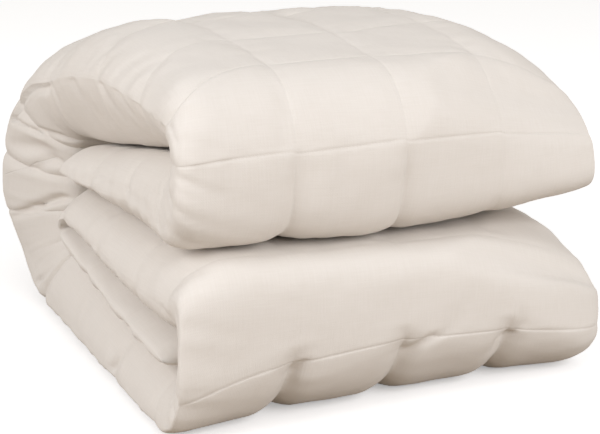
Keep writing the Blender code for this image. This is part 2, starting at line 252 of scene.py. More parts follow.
CREASES = {
    Face.INNER: laid(
        (9.32, 6, 8.75, 3.5, 4.2, -7.5, -6), (8.75, 3.5, 8.06, 3, 4, -6, -6.5),
        (9.36, 0, 9.12, 52, 4.8, -7, -4), (9.12, 50, 8.60, 73, 6, -4, -5),
        (9.75, 22, 9.45, 75, 15, -3, -6), (9.98, 72, 9.62, 96, 10, -2, -7),
        (11.12, 16, 10.90, 78, 9, -2.5, -6), (10.90, 78, 10.62, 122, 8, -6, -8),
        (12.62, 0, 12.75, 34, 5, -5.5, -1), (14.93, 0, 15.02, 26, 4.2, -6.5, -1),
        (6.95, 0, 6.45, 36, 5, -3, -0.4), (6.52, 0, 6.10, 24, 4, -3.2, -0.5),
        (6.12, 0, 5.85, 18, 3, -2, -0.3), (5.12, 0, 4.55, 26, 4.5, -4.5, -0.7),
        (5.60, 2, 5.35, 22, 5, -1.5, -0.2), (7.95, 0, 7.72, 34, 4.5, -2, -0.3),
        (7.45, 4, 7.05, 44, 6, -1.8, -0.3), (20.42, 1, 20.52, 16, 2.6, -3.4, -0.5),
        (21.90, 0, 21.97, 24, 3, -3.4, -0.5), (22.42, 0, 22.52, 18, 2.8, -2.4, -0.4),
        (22.88, 0, 22.99, 24, 3.4, -1.6, -0.4), (23.18, 0, 23.32, 26, 3.4, -1.4, -0.4),
        (1.25, 11, 2.10, 9, 2, -2, -0.3), (2.00, 9, 2.80, 6, 2, -2.2, -0.3),
        (2.60, 2, 2.42, 36, 2.6, -2.6, -0.4), (2.95, 2, 2.78, 44, 3, -2, -0.3),
        (3.25, 2, 3.08, 48, 3, -1.6, -0.2), (3.58, 0, 3.40, 44, 4, -2, -0.3),
        (0.45, 0, 0.60, 20, 3, -2.6, -0.4), (0.80, 0, 0.92, 20, 3, -2.4, -0.4),
        (17.80, 0, 17.25, 16, 3, -3.4, -0.5), (18.20, 0, 17.85, 24, 3.6, -3, -0.4),
        (16.50, 2, 16.72, 34, 3, -3, -0.4), (16.85, 1, 16.60, 30, 3, -2.2, -0.3),
        (1.12, 0, 1.30, 14, 2.2, 3.5, 1), (1.30, 0, 1.42, 12, 2, 3, 0.8),
        (21.25, 0, 21.40, 14, 2.2, 3.5, 1), (21.50, 0, 21.58, 16, 2.4, 3.5, 1),
    ),
    Face.OUTER: laid(
        (4.90, 6, 4.15, 5, 2.2, -1.6, -0.2), (4.02, 151, 3.55, 155, 6, -1.4, -0.2),
        (4.02, 110, 3.65, 114, 2.2, -1.2, -0.2), (4.07, 96, 4.50, 102, 6, -1.2, -0.2),
        (4.35, 108, 4.75, 108, 5, -1, -0.1), (17.08, 254, 17.45, 268, 9, -1.3, -0.3),
        (16.99, 240, 16.45, 216, 7.5, -4, -0.6), (16.97, 116, 16.45, 108, 6, -3.4, -0.5),
        (16.90, 330, 16.45, 308, 7, -3.6, -0.5), (17.00, 330, 17.40, 336, 6, -1, -0.1),
    ),
}


def ripples(a: Array, b: Array, length: float, seed: int, waves: int = 26) -> Array:
    """Even noise over a plane, made of plane waves.

    Args:
        a: First coordinate of each point.
        b: Second coordinate of each point.
        length: Mean wavelength.
        seed: Seed of the waves' directions and phases.
        waves: How many waves are added up.

    Returns:
        The noise at each point, with a spread of about 1.
    """
    draw = np.random.default_rng(seed)
    total = np.zeros(np.broadcast(a, b).shape)
    for _ in range(waves):
        angle = draw.uniform(0, 2 * math.pi)
        number = 2 * math.pi / (length * draw.uniform(0.7, 1.5))
        phase = draw.uniform(0, 2 * math.pi)
        total += np.sin(number * (math.cos(angle) * a + math.sin(angle) * b) + phase)
    return total * math.sqrt(2 / waves)


@dataclass
class FoldedStrip:
    """The path of the padded strip through the stack, and the grid of points over it.

    Seen from its left end it runs from the free end of the second layer forward, round the
    upper front fold, back over the top, down the back, forward along the floor, round the
    lower front fold, back as the third layer, and round a small inner fold into a tucked end.
    These are its nine stretches. A stretch that shows has more rows of points to a square.
    """

    square: float = 0.102
    columns: int = 4
    gap: float = 0.003
    end_round: float = 0.040
    tip_round: float = 0.020
    end_pinch: float = 0.005
    pinch_width: float = 0.5
    column_width: float = 0.5
    upper_seam_row: int = 4
    lower_seam_row: int = 17
    notch_fade: float = 0.35
    upper_seam_height: float = 0.238
    lower_seam_height: float = 0.064
    second_layer_end: float = 0.296
    tucked_end: float = 0.012
    rows_in_square: tuple[int, ...] = (24, 30, 30, 26, 20, 30, 18, 8, 8)
    upper_stretch: int = 1
    lower_stretch: int = 5
    steps_across: int = 22
    steps_left: int = 20
    steps_right: int = 13
    crowding: float = 0.5
    dense: int = 240
    shelf_drop: float = 0.015
    top_drop: float = 0.017
    corner_sag: float = 0.053
    left_spread: float = 0.016
    back_spread: float = 0.011
    right_pull: float = 0.004
    front_lift: float = 0.030
    front_lift_depth: float = 0.09
    front_lift_height: float = 0.12
    front_lift_fullness: int = 3
    lean_fullness: float = 1.7
    spread_loss: float = 0.5
    back_spread_rise: float = 5.0
    back_spread_start: float = 0.8
    pinch_fullness: int = 6
    end_clearance: float = 0.002
    floor_press: float = 0.0025
    seam_jog: float = 0.02
    levels: tuple[Level, ...] = (
        Level(0.03, 0.056, 0.089, 0.163, 0.238, 0.305),
        Level(0.12, 0.062, 0.095, 0.159, 0.227, 0.317),
        Level(0.20, 0.069, 0.106, 0.162, 0.213, 0.3225),
        Level(0.28, 0.079, 0.120, 0.166, 0.203, 0.3185),
        Level(0.36, 0.090, 0.132, 0.167, 0.196, 0.297),
    )
    upper_fold: Turn = Turn(0.055, 0.055, -0.011, 0.055, 0.045, 3.4, 1.86)
    back_fold: Turn = Turn(0.330, 0.358, 0.518, 0.325, 0.342, 2.0, 2.0)
    lower_fold: Turn = Turn(0.040, 0.040, -0.026, 0.033, 0.006, 2.55, 5.5)
    inner_fold: Turn = Turn(0.285, 0.285, 0.326, 0.280, 0.284, 2.2, 2.2)

    @property
    def half_width(self) -> float:
        """Half the width of the strip."""
        return self.columns * self.square / 2

    @property
    def stack_height(self) -> float:
        """The greatest height of the top."""
        return max(level.top for level in self.levels)

    def level_at(self, name: str, y: Array) -> Array:
        """The height of one parting.

        Args:
            name: The field of Level.
            y: Depths behind the front.

        Returns:
            Heights on a smooth curve through the levels.
        """
        depths = [level.y for level in self.levels]
        heights = [getattr(level, name) for level in self.levels]
        return np.polyval(np.polyfit(depths, heights, len(depths) - 1), y)

    def arc(self, start: tuple, end: tuple, reach: float, turn: Turn) -> Array:
        """Half a superellipse.

        Args:
            start: Depth and height where it starts.
            end: Depth and height where it ends.
            reach: The depth that its middle reaches.
            turn: The fold, which says how boxy it is.

        Returns:
            Points as rows of depth and height.
        """
        angle = np.linspace(-math.pi / 2, math.pi / 2, self.dense)
        fullness = np.where(angle < 0, turn.first_fullness, turn.last_fullness)
        across = np.abs(np.cos(angle)) ** (2 / fullness)
        along = np.sign(np.sin(angle)) * np.abs(np.sin(angle)) ** (2 / fullness)
        share = (along + 1) / 2
        base_y = start[0] + (end[0] - start[0]) * share
        z = start[1] + (end[1] - start[1]) * share
        return np.column_stack([base_y + (reach - base_y) * across, z])

    def outline(self) -> tuple[Array, Array, Array]:
        """The strip in the Y-Z plane.

        Returns:
            The outer outline, the inner outline and the finish at each of their points.
        """
        upper, back, lower, inner = (self.upper_fold, self.back_fold, self.lower_fold,
                                     self.inner_fold)

        def height(place: tuple[str, int], y: Array | float) -> Array | float:
            """The height at a depth: half a gap above or below a parting, or the floor."""
            name, side = place
            return 0 * y if name == "floor" else self.level_at(name, y) + side * self.gap / 2

        def flat(first: float, last: float, *place: str | int) -> Array:
            """The curve of a layer from one depth to another."""
            y = np.linspace(first, last, self.dense)
            return np.column_stack([y, height(place, y)])

        def bend(turn: Turn, *places: tuple[str, int]) -> tuple[Array, Array]:
            """The outer and the inner curve of a fold, each from one place to another."""
            ends = [(y, height(place, y)) for y, place in zip(
                (turn.start, turn.end, turn.inner_start, turn.inner_start), places)]
            return (self.arc(*ends[:2], turn.outer_reach, turn),
                    self.arc(*ends[2:], turn.inner_reach, turn))

        pieces = [
            (flat(self.second_layer_end, upper.start, "shelf", 1),
             flat(self.second_layer_end, upper.inner_start, "parting", -1),
             SECOND_LAYER),
            (*bend(upper, ("shelf", 1), ("top", 0), ("parting", -1), ("parting", 1)),
             UPPER_FRONT_LOW, UPPER_FRONT_HIGH),
            (flat(upper.end, back.start, "top", 0),
             flat(upper.inner_start, back.inner_start, "parting", 1),
             TOP_FRONT, TOP_BACK),
            (*bend(back, ("top", 0), ("floor", 0), ("parting", 1), ("tuck_low", -1)),
             BACK_HIGH, BACK_LOW),
            (flat(back.end, lower.start, "floor", 0),
             flat(back.inner_start, lower.inner_start, "tuck_low", -1),
             FLOOR_LAYER),
            (*bend(lower, ("floor", 0), ("shelf", -1), ("tuck_low", -1), ("tuck_high", 1)),
             LOWER_FRONT_LOW, LOWER_FRONT_HIGH),
            (flat(lower.end, inner.start, "shelf", -1),
             flat(lower.inner_start, inner.inner_start, "tuck_high", 1),
             THIRD_LAYER),
            (*bend(inner, ("shelf", -1), ("tuck_low", 1), ("tuck_high", 1), ("tuck_high", -1)),
             INNER_BACK),
            (flat(inner.end, self.tucked_end, "tuck_low", 1),
             flat(inner.inner_start, self.tucked_end, "tuck_high", -1),
             TUCKED),
        ]
        outer_line = np.vstack([piece[0][:-1] for piece in pieces])
        inner_line = np.vstack([piece[1][:-1] for piece in pieces])
        late = np.arange(self.dense - 1)[:, None] > self.dense // 2
        finish = np.vstack([np.where(late, piece[-1].values(), piece[2].values())
                            for piece in pieces])
        soft = self.soften(finish, self.dense // 4)
        sharp = self.soften(finish, self.dense // 10)
        for column in (FINISH["column_depth"], FINISH["line"]):
            soft[:, column] = sharp[:, column]
        return self.soften(outer_line, self.dense // 12), inner_line, soft

    @staticmethod
    def soften(values: Array, reach: int) -> Array:
        """A moving average along the strip, which leaves its two ends where they are.

        Args:
            values: A column for each value.
            reach: How many rows away it takes in.

        Returns:
            The columns, softened.
        """
        padded = np.pad(values, ((reach, reach), (0, 0)), mode="edge")
        kernel = np.hanning(2 * reach + 3)[1:-1]
        kernel /= kernel.sum()
        return np.column_stack([np.convolve(column, kernel, "valid") for column in padded.T])

    def crowded(self, steps: int) -> Array:
        """Places in a square from 0 to 1, closer together near its seams."""
        even = np.arange(steps) / steps
        return even - self.crowding * np.sin(2 * math.pi * even) / (2 * math.pi)

    def rows_along(self, outer: Array) -> tuple[Array, Array, Array, Array]:
        """The rows of points.

        Args:
            outer: The outer outline.

        Returns:
            The length along the outline at each of its points, and for each row its place
            along the outline, its place in its square, and the number of its square.
        """
        lengths = np.r_[0, np.cumsum(np.linalg.norm(np.diff(outer, axis=0), axis=1))]
        stretch = np.arange(len(outer)) // (self.dense - 1)

        def seam_at(number: int, height: float) -> float:
            """The length at which one stretch of the strip crosses a height."""
            inside = np.flatnonzero(stretch == number)
            return lengths[inside[np.argmin(np.abs(outer[inside, 1] - height))]]

        marks = [lengths[0], seam_at(self.upper_stretch, self.upper_seam_height),
                 seam_at(self.lower_stretch, self.lower_seam_height), lengths[-1]]
        places, phases, numbers = [], [], []
        number = self.upper_seam_row - round((marks[1] - marks[0]) / self.square)
        for first, last in zip(marks, marks[1:]):
            squares = round((last - first) / self.square)
            pitch = (last - first) / squares
            for index in range(squares):
                start = first + index * pitch
                middle = stretch[np.searchsorted(lengths, start + pitch / 2)]
                phase = self.crowded(self.rows_in_square[middle])
                places.append(start + pitch * phase)
                phases.append(phase)
                numbers.append(np.full(len(phase), number))
                number += 1
        places.append([lengths[-1]])
        phases.append([0.0])
        numbers.append([number])
        return lengths, np.concatenate(places), np.concatenate(phases), np.concatenate(numbers)

    def columns_across(self) -> tuple[Array, Array]:
        """The columns of points.

        Returns:
            The x of each column and its place in its square.
        """
        flat = self.half_width - self.end_round
        phase = self.crowded(self.steps_across)
        middle = np.concatenate([
            -self.half_width + self.square * (index + phase) for index in range(self.columns)
        ])
        middle = middle[np.abs(middle) < flat - self.end_clearance]
        ends = [flat + self.end_round * np.sin(np.linspace(0, math.pi / 2, steps + 1))
                for steps in (self.steps_left, self.steps_right)]
        x = np.concatenate([-ends[0][::-1], middle, ends[1]])
        return x, (x + self.half_width) / self.square % 1

    def inner_columns(self, x: Array) -> Array:
        """The columns that the inner face keeps: all near the ends, and every third between.

        Args:
            x: The x of each column.

        Returns:
            The numbers of those columns.
        """
        middle = np.abs(x) < self.half_width - 2 * self.end_round
        order = np.arange(len(x))
        return order[~middle | (order % 3 == 0)]

    def rounded(self, x: Array, reach: Array, fullness: Array, edge: Array) -> Array:
        """The share of its thickness that a face keeps.

        Args:
            x: Places across the strip.
            reach: How far in from the end the face starts to round off.
            fullness: 2 is an ellipse, more is boxier.
            edge: The same as the fullness for a round end, less for a ridge.

        Returns:
            The share at each place.
        """
        share = np.clip((np.abs(x) - self.half_width + reach) / reach, 0, 1)
        return (1 - share**fullness) ** (1 / edge)

    @staticmethod
    def channel(phase: Array, width: Array) -> Array:
        """The share of its depth that a sewn channel has.

        Args:
            phase: Places in a square from 0 to 1, with a stitch line at both.
            width: Half the channel's width, in half squares.

        Returns:
            1 on a stitch line, falling to 0 at the channel's edge.
        """
        from_seam = np.abs((phase + 0.5) % 1 - 0.5) * 2
        return np.clip(1 - from_seam / width, 0, 1) ** 2

    def wander(self, rows: Array, x: Array) -> Array:
        """How far the cloth is shifted along the strip, in squares.

        Args:
            rows: The even row number at each row of points.
            x: Places across the strip.

        Returns:
            The shift over the grid.
        """
        marks = [line.row for line in STITCH_LINES]

        def along(name: str) -> Array:
            """One of the table's columns at every row of points."""
            return np.interp(rows, marks, [getattr(line, name) for line in STITCH_LINES])

        knots = np.array([-self.square, 0.0, self.square, self.half_width])
        table = np.stack([along("first"), along("middle"), along("third"), along("right")])
        shift = np.stack([np.interp(x, knots, column) for column in table.T])
        lean = np.clip((-self.square - x) / self.square, 0, 1) ** self.lean_fullness
        saw = (x + self.half_width) / self.square % 1 - 0.5
        saw = np.convolve(np.pad(saw, 1, mode="edge"), (0.25, 0.5, 0.25), "valid")
        return shift + along("left_lean")[:, None] * lean + self.seam_jog * saw

    def settle(self, points: Array) -> Array:
        """The uneven way in which the stack lies.

        Args:
            points: Points of the even stack.

        Returns:
            The points moved: what is higher drops more, the middle of the lower front fold
            lifts off the floor, and the underside is pressed flat.
        """
        right = (points[..., 0] + self.half_width) / (2 * self.half_width)
        back = np.clip(points[..., 1] / self.back_fold.outer_reach, 0, 1)
        height = np.clip(points[..., 2] / self.stack_height, 0, 1)
        drop = self.shelf_drop * right * np.sin(math.pi * height)
        drop += self.top_drop * right * height
        drop += self.corner_sag * (1 - right) ** 2 * back**2 * height
        spread = self.left_spread * (1 - right) * (1 - height) * (1 - self.spread_loss * back)
        spread += self.back_spread * (1 - right) * back * np.clip(
            self.back_spread_rise * height - self.back_spread_start, 0, 1)
        spread += self.right_pull * right * (1 - height)
        front = np.clip(1 - (points[..., 1] - self.lower_fold.outer_reach)
                        / self.front_lift_depth, 0, 1)
        low = np.clip(1 - points[..., 2] / self.front_lift_height, 0, 1)
        middle = 1 - np.abs(2 * right - 1) ** self.front_lift_fullness
        drop -= self.front_lift * np.clip(middle, 0, 1) * front**2 * low
        moved = points - np.stack([spread, 0 * drop, drop + self.floor_press], axis=-1)
        moved[..., 2] = np.maximum(moved[..., 2], 0)
        return moved

    def surface(self) -> dict[str, Array]:
        """The points of the strip and what is known of each.

        Returns:
            "outer" and "inner" grids of points, and the fields that the details use.
        """
        outer_line, inner_line, finish_line = self.outline()
        lengths, places, row_phase, row_number = self.rows_along(outer_line)
        x, column_phase = self.columns_across()
        rows = row_number + row_phase
        shifted = rows[:, None] + self.wander(rows, x)
        grid = np.interp(shifted, rows, places)

        def sample(values: Array) -> Array:
            """Each column of values at every point of the grid."""
            return np.stack([np.interp(grid, lengths, column) for column in values.T], axis=-1)

        outer, inner, finish = sample(outer_line), sample(inner_line), sample(finish_line)

        def of(name: str) -> Array:
            """One value of the finish at every point of the grid."""
            return finish[..., FINISH[name]]

        from_tip = np.minimum(grid, lengths[-1] - grid)
        tip = np.sqrt(1 - np.clip(1 - from_tip / self.tip_round, 0, 1) ** 2)
        row = self.channel(row_phase[:, None], of("row_width"))
        # The end squares have a channel only on their inner side: their outer side is the end.
        inside = np.where(np.abs(x) > self.half_width - self.square / 2, 0.5, column_phase)
        above = np.clip((rows - self.lower_seam_row) / self.notch_fade + 0.5, 0, 1)
        above = np.where(rows < self.lower_seam_row + 1, above, 0)
        column = self.channel(inside, self.column_width) * (1 - above[:, None])
        marks = [seam.row for seam in LEFT_EDGE]
        shares = [seam.share for seam in LEFT_EDGE]
        quarter = self.rows_in_square[self.upper_stretch] // 4
        left_crest = self.soften(np.interp(shifted, marks, shares), quarter)
        crest_share = np.where(x < 0, left_crest, of("crest_right"))
        outer_round = np.where(x < 0, of("round_left"), of("round_right"))
        crest = inner + crest_share[..., None] * (outer - inner)
        edge = (np.abs(x) / self.half_width) ** self.pinch_fullness
        draw = np.interp(rows, [line.row for line in STITCH_LINES],
                         [line.pinch for line in STITCH_LINES])
        drawn = self.channel(row_phase, self.pinch_width * draw + TINY)[:, None]
        pinch = self.end_pinch * of("slack") * drawn * draw[:, None]
        spread = x - np.sign(x) * pinch * edge
        depths = (np.maximum(of("row_depth") * row, of("column_depth") * column),
                  of("inner_depth") * np.maximum(row, column))
        rounds = outer_round, np.full(grid.shape, self.end_round)
        left = x < 0
        fullness = (np.where(left, of("left_fullness"), of("right_fullness")),
                    np.where(left, of("left_under"), of("right_fullness")))
        blunt = np.where(left, of("left_edge"), of("right_fullness")), fullness[1]
        result = {}
        for name, side, depth, *shape in zip(("outer", "inner"), (outer, inner), depths,
                                             rounds, fullness, blunt):
            end = self.rounded(x, *shape)
            reach = side - crest
            thick = np.maximum(np.linalg.norm(reach, axis=2), TINY)
            place = crest + reach * (tip * end * (1 - depth * end / thick))[..., None]
            result[name] = self.settle(np.concatenate([spread[..., None], place], axis=2))
        nearest = np.round(row_phase).astype(int)
        near = np.round((x + self.half_width) / self.square)
        even = {
            "across": x,
            "row": rows[:, None],
            "row_gap": ((row_phase - nearest) * self.square)[:, None],
            "row_number": (row_number + nearest)[:, None],
            "column_gap": x + self.half_width - near * self.square,
            "column_number": near,
        }
        for name, values in even.items():
            result[name] = np.broadcast_to(values, grid.shape)
        result.update({name: of(name) for name in ("slack", "line", "gather")}, along=grid)
        return result


@dataclass
class QuiltedCover:
    """The cover and its filling, as one closed cloth surface."""

    strip: FoldedStrip = field(default_factory=FoldedStrip)
    pucker_height: float = 0.0010
    pucker_length: float = 0.015
    pucker_reach: float = 0.011
    pucker_start: float = 0.0025
    pucker_step: float = 0.83
    pucker_side: float = 0.31
    gather_height: float = 0.0009
    gather_length: float = 0.026
    gather_reach: float = 0.032
    gather_start: float = 0.004
    gather_right: float = 0.3
    gather_lean: float = 0.35
    gather_side: float = 0.7
    fine_gather: float = 0.4
    fine_gather_ratio: float = 2.2
    crumple_height: float = 0.0011
    crumple_length: float = 0.075
    fine_crumple: float = 0.3
    crease_widening: float = 0.6
    crease_lip: float = 0.5
    crease_start: float = 0.0015
    relief_start: float = 0.012
    inner_relief: float = 0.5
    line_start: float = 0.006
    end_seam_reach: float = 0.45
    seed: int = 11
    centre: tuple[float, float, float] = (0.0, 0.0, 0.0)

    def puckers(self, spot: dict[str, Array], seed: int) -> Array:
        """The small puckers across the stitch lines, which fade out away from them.

        Args:
            spot: The fields of the strip's surface.
            seed: Seed of the noise.

        Returns:
            The height of the surface at each point.
        """
        total = 0.0
        for order, (gap, number, travel) in enumerate((
            ("row_gap", "row_number", "across"),
            ("column_gap", "column_number", "along"),
        )):
            side = np.where(spot[gap] < 0, self.pucker_side, 0.0)
            wave = ripples(spot[travel], spot[number] * self.pucker_step + side,
                           self.pucker_length, seed + order)
            away = np.abs(spot[gap])
            fade = np.exp(-away / self.pucker_reach) * (1 - np.exp(-away / self.pucker_start))
            total = total + wave * fade
        return total * self.pucker_height * spot["slack"]

    def gathers(self, spot: dict[str, Array], rim: Array, seed: int) -> Array:
        """The gathers along the edge seams at the two ends of the layers.

        Args:
            spot: The fields of the strip's surface.
            rim: The distance of each point from the nearer edge seam.
            seed: Seed of the noise.

        Returns:
            The height of the surface at each point.
        """
        lean = spot["along"] + self.gather_lean * rim
        side = np.sign(spot["across"]) * self.gather_side
        wave = ripples(lean, side, self.gather_length, seed)
        fine = ripples(lean, side, self.gather_length / self.fine_gather_ratio, seed + 5)
        fade = np.exp(-rim / self.gather_reach) * (1 - np.exp(-rim / self.gather_start))
        fade = fade * np.where(spot["across"] > 0, self.gather_right, spot["gather"])
        return (wave + self.fine_gather * fine) * fade * self.gather_height

    def creases(self, spot: dict[str, Array], inward: Array, face: Face) -> Array:
        """The creases and drag folds of one face.

        Args:
            spot: The fields of the strip's surface.
            inward: How far in from the left edge seam each point lies.
            face: The face.

        Returns:
            The height of the surface at each point.
        """
        along = spot["row"] * self.strip.square
        total = np.zeros(inward.shape)
        scale = np.array([self.strip.square, MILLIMETRE])
        for crease in CREASES[face]:
            start = np.array([crease.row, crease.inward]) * scale
            end = np.array([crease.last_row, crease.last_inward]) * scale
            length = np.linalg.norm(end - start)
            step = (end - start) / length
            travel = (along - start[0]) * step[0] + (inward - start[1]) * step[1]
            aside = -(along - start[0]) * step[1] + (inward - start[1]) * step[0]
            beyond = np.maximum(-travel, 0) + np.maximum(travel - length, 0)
            share = np.clip(travel / length, 0, 1)
            wide = crease.width * MILLIMETRE * (1 + self.crease_widening * share)
            spread = (aside**2 + beyond**2) / wide**2
            height = crease.height + (crease.last_height - crease.height) * share
            total += height * (1 - self.crease_lip * spread) * np.exp(-spread)
        return total * MILLIMETRE

    def crumple(self, spot: dict[str, Array], seed: int) -> Array:
        """The shallow, wide unevenness of the filling.

        Args:
            spot: The fields of the strip's surface.
            seed: Seed of the noise.

        Returns:
            The height of the surface at each point.
        """
        wave = ripples(spot["along"], spot["across"], self.crumple_length, seed)
        small = ripples(spot["along"], spot["across"], self.crumple_length / 3, seed + 3)
        return (wave + self.fine_crumple * small) * self.crumple_height * spot["slack"]

    @staticmethod
    def rim_distances(points: Array) -> tuple[Array, Array]:
        """The distances over the surface from each point of a grid to its two end columns.

        Args:
            points: The grid.

        Returns:
            The distances to its left and to its right end.
        """
        step = np.linalg.norm(np.diff(points, axis=1), axis=2)
        left = np.concatenate([np.zeros((len(points), 1)), np.cumsum(step, axis=1)], axis=1)
        return left, left[:, -1:] - left

    def end_seam(self, spot: dict[str, Array], inner: Array) -> tuple[Array, Array]:
        """The cross seam that shows on the left end of the back.

        Args:
            spot: The fields of the strip's surface.
            inner: Points of the inner face.

        Returns:
            The signed distance of each point of the inner face from it, and how clearly its
            stitching shows there.
        """
        inward, _ = self.rim_distances(inner)
        marks = [seam.inward for seam in END_SEAM]
        row = np.interp(inward, marks, [seam.row for seam in END_SEAM])
        off = spot["row"] - row
        slope = np.gradient(row * self.strip.square, axis=1) / np.maximum(
            np.gradient(inward, axis=1), TINY)
        gap = off * self.strip.square / np.sqrt(1 + slope**2)
        shown = (np.abs(off) < self.end_seam_reach) & (inward < marks[-2]) & (spot["across"] < 0)
        return gap, shown * 1.0

    @staticmethod
    def grid_normals(points: Array, face: Face) -> Array:
        """The outward normals of a grid of points.

        Args:
            points: The grid.
            face: The face of the strip that it lies on.

        Returns:
            A vector of length 1 for each point.
        """
        along = np.gradient(points, axis=0)
        across = np.gradient(points, axis=1)
        normal = np.cross(across, along)
        normal /= np.maximum(np.linalg.norm(normal, axis=2, keepdims=True), TINY**2)
        return normal if face is Face.OUTER else -normal

    def shape(self) -> tuple[Array, Array, dict[str, Array]]:
        """The finished shape of the cover.

        Returns:
            The grids of points of its outer and its inner face, and the fields over them.
        """
        spot = self.strip.surface()
        grids = []
        for face, name in ((Face.OUTER, "outer"), (Face.INNER, "inner")):
            points = spot[name]
            left, right = self.rim_distances(points)
            rim = np.minimum(left, right)
            seed = self.seed + 40 * face.value
            height = self.puckers(spot, seed) + self.crumple(spot, seed + 20)
            height = height * (1 - np.exp(-rim / self.relief_start))
            if face is Face.INNER:
                height = height * self.inner_relief
            height = height + self.gathers(spot, rim, seed + 30)
            # Where a face runs round the inside of a fold it is short, and its waves are low.
            short = np.linalg.norm(np.gradient(points, axis=0), axis=2)
            short /= np.gradient(spot["along"], axis=0)
            height = height * np.clip(short, 0, 1) ** 2
            laid_in = 1 - np.exp(-rim / self.crease_start)
            height = height + self.creases(spot, left, face) * laid_in
            height[:, 0] = height[:, -1] = height[0] = height[-1] = 0
            points = points + self.grid_normals(points, face) * height[..., None]
            points[..., 2] = np.maximum(points[..., 2], 0)
            grids.append(points)
        return grids[0], grids[1], spot

    def mesh_from(self, outer: Array, inner: Array, spot: dict[str, Array]) -> bpy.types.Mesh:
        """One closed mesh from the two grids, which share their rim.

        Args:
            outer: Points of the outer face.
            inner: Points of the inner face.
            spot: The fields of the strip's surface.

        Returns:
            The mesh, with a map of its cloth in metres and each point's distances to the seams.
        """
        rows, columns = outer.shape[:2]
        keep = self.strip.inner_columns(spot["across"][0])
        first = np.arange(rows * columns).reshape(rows, columns)
        second = first[:, keep].copy()
        shape = rows - 2, len(keep) - 2
        second[1:-1, 1:-1] = rows * columns + np.arange(shape[0] * shape[1]).reshape(shape)

        def both(over: Array, under: Array) -> Array:
            """The values at the mesh's points, from the grids of its two faces."""
            inside = under[1:-1, keep[1:-1]]
            return np.concatenate([values.reshape(-1, *over.shape[2:])
                                   for values in (over, inside)])

        def quads(index: Array) -> Array:
            """The four corners of each cell of a grid."""
            return np.stack([index[:-1, :-1], index[:-1, 1:], index[1:, 1:], index[1:, :-1]],
                            axis=-1).reshape(-1, 4)

        # The first and last rows of the inner face's cells reach all columns of the rim.
        faces = quads(first).tolist() + quads(second[1:-1])[:, ::-1].tolist()
        spots = quads(first).tolist()
        spots += (rows * columns + quads(first[1:-1, keep])[:, ::-1]).tolist()
        for rim, near, turn in ((0, 1, -1), (-1, -2, 1)):
            for cell in range(len(keep) - 1):
                span = np.arange(keep[cell], keep[cell + 1] + 1)
                corners = [*first[rim, span], second[near, cell + 1], second[near, cell]]
                faces.append([int(corner) for corner in corners[::turn]])
                places = [*first[rim, span], first[near, keep[cell + 1]], first[near, keep[cell]]]
                spots.append([rows * columns + int(place) for place in places[::turn]])
        mesh = bpy.data.meshes.new("blanket_cover")
        points = both(outer, inner)
        mesh.from_pydata(points.tolist(), [], faces)
        mesh.shade_smooth()
        maps = []
        for grid in (outer, inner):
            width, _ = self.rim_distances(grid)
            width = width - width[:, columns // 2][:, None]
            maps.append(np.stack([width, spot["along"]], axis=-1).reshape(-1, 2))
        loops = np.concatenate(maps)[np.concatenate(spots)].reshape(-1)
        mesh.uv_layers.new(name="cloth_map").data.foreach_set("uv", loops)
        edge = np.minimum(*self.rim_distances(outer))
        line = spot["line"] * (1 - np.exp(-edge / self.line_start))
        seam, shown = self.end_seam(spot, inner)
        for name, over, under in (
            ("row_gap", np.abs(spot["row_gap"]), seam),
            ("column_gap", np.abs(spot["column_gap"]), np.full(edge.shape, self.strip.square)),
            ("edge_gap", edge, edge),
            ("line", line, shown),
            ("slack", spot["slack"], spot["slack"]),
        ):
            mesh.attributes.new(name, "FLOAT", "POINT").data.foreach_set(
                "value", both(over, under))
        log.info("cover mesh: %d points, %d faces, from %s to %s", len(points), len(faces),
                 points.min(axis=0).round(4), points.max(axis=0).round(4))
        return mesh

    def build(self, finish: ClothFinish) -> bpy.types.Object:
        """The cover as an object of the scene.

        Args:
            finish: The cloth it is made of.

        Returns:
            The object, declared to the frame.
        """
        outer, inner, spot = self.shape()
        shift = np.array(self.centre)
        mesh = self.mesh_from(outer + shift, inner + shift, spot)
        mesh.materials.append(finish.material())
        cover = bpy.data.objects.new("blanket_cover", mesh)
        bpy.context.scene.collection.objects.link(cover)
        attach(cover, "root")
        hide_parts("blanket")
        return cover


@dataclass
class NodeSketch:
    """Places and joins the nodes of one node tree."""

    tree: bpy.types.NodeTree
    column: float = 0.0
    spacing: float = 190.0

    def fill(self, node: bpy.types.Node, inputs: dict) -> None:
        """Joins a socket or sets a value at each of a node's inputs.

        Args:
            node: The node.
            inputs: A socket or a value for each input, by name or by number.
        """
        for name, value in inputs.items():
            if isinstance(value, bpy.types.NodeSocket):
                self.tree.links.new(value, node.inputs[name])
            else:
                node.inputs[name].default_value = value

    def add(self, kind: str, inputs: dict | None = None, **values: object) -> bpy.types.Node:
        """A new node to the right of the last one.

        Args:
            kind: Blender's name of the node type.
            inputs: A socket or a value for each input, by name or by number.
            **values: Properties of the node to set.

        Returns:
            The node.
        """
        node = self.tree.nodes.new(kind)
        node.location = (self.column, 0)
        self.column += self.spacing
        for name, value in values.items():
            setattr(node, name, value)
        self.fill(node, inputs or {})
        return node

    def maths(self, operation: str, *inputs: object) -> bpy.types.NodeSocket:
        """The output of a Math node, with a socket or a number for each of its inputs."""
        return self.add("ShaderNodeMath", dict(enumerate(inputs)), operation=operation).outputs[0]

    def attribute(self, name: str) -> bpy.types.NodeSocket:
        """A number that the mesh holds at each of its points."""
        return self.add("ShaderNodeAttribute", attribute_name=name).outputs["Fac"]

    def blend(self, share: object, first: tuple, second: tuple) -> bpy.types.NodeSocket:
        """The blend of two colours."""
        return self.add("ShaderNodeMix", {0: share, 6: (*first, 1.0), 7: (*second, 1.0)},
                        data_type="RGBA").outputs[2]


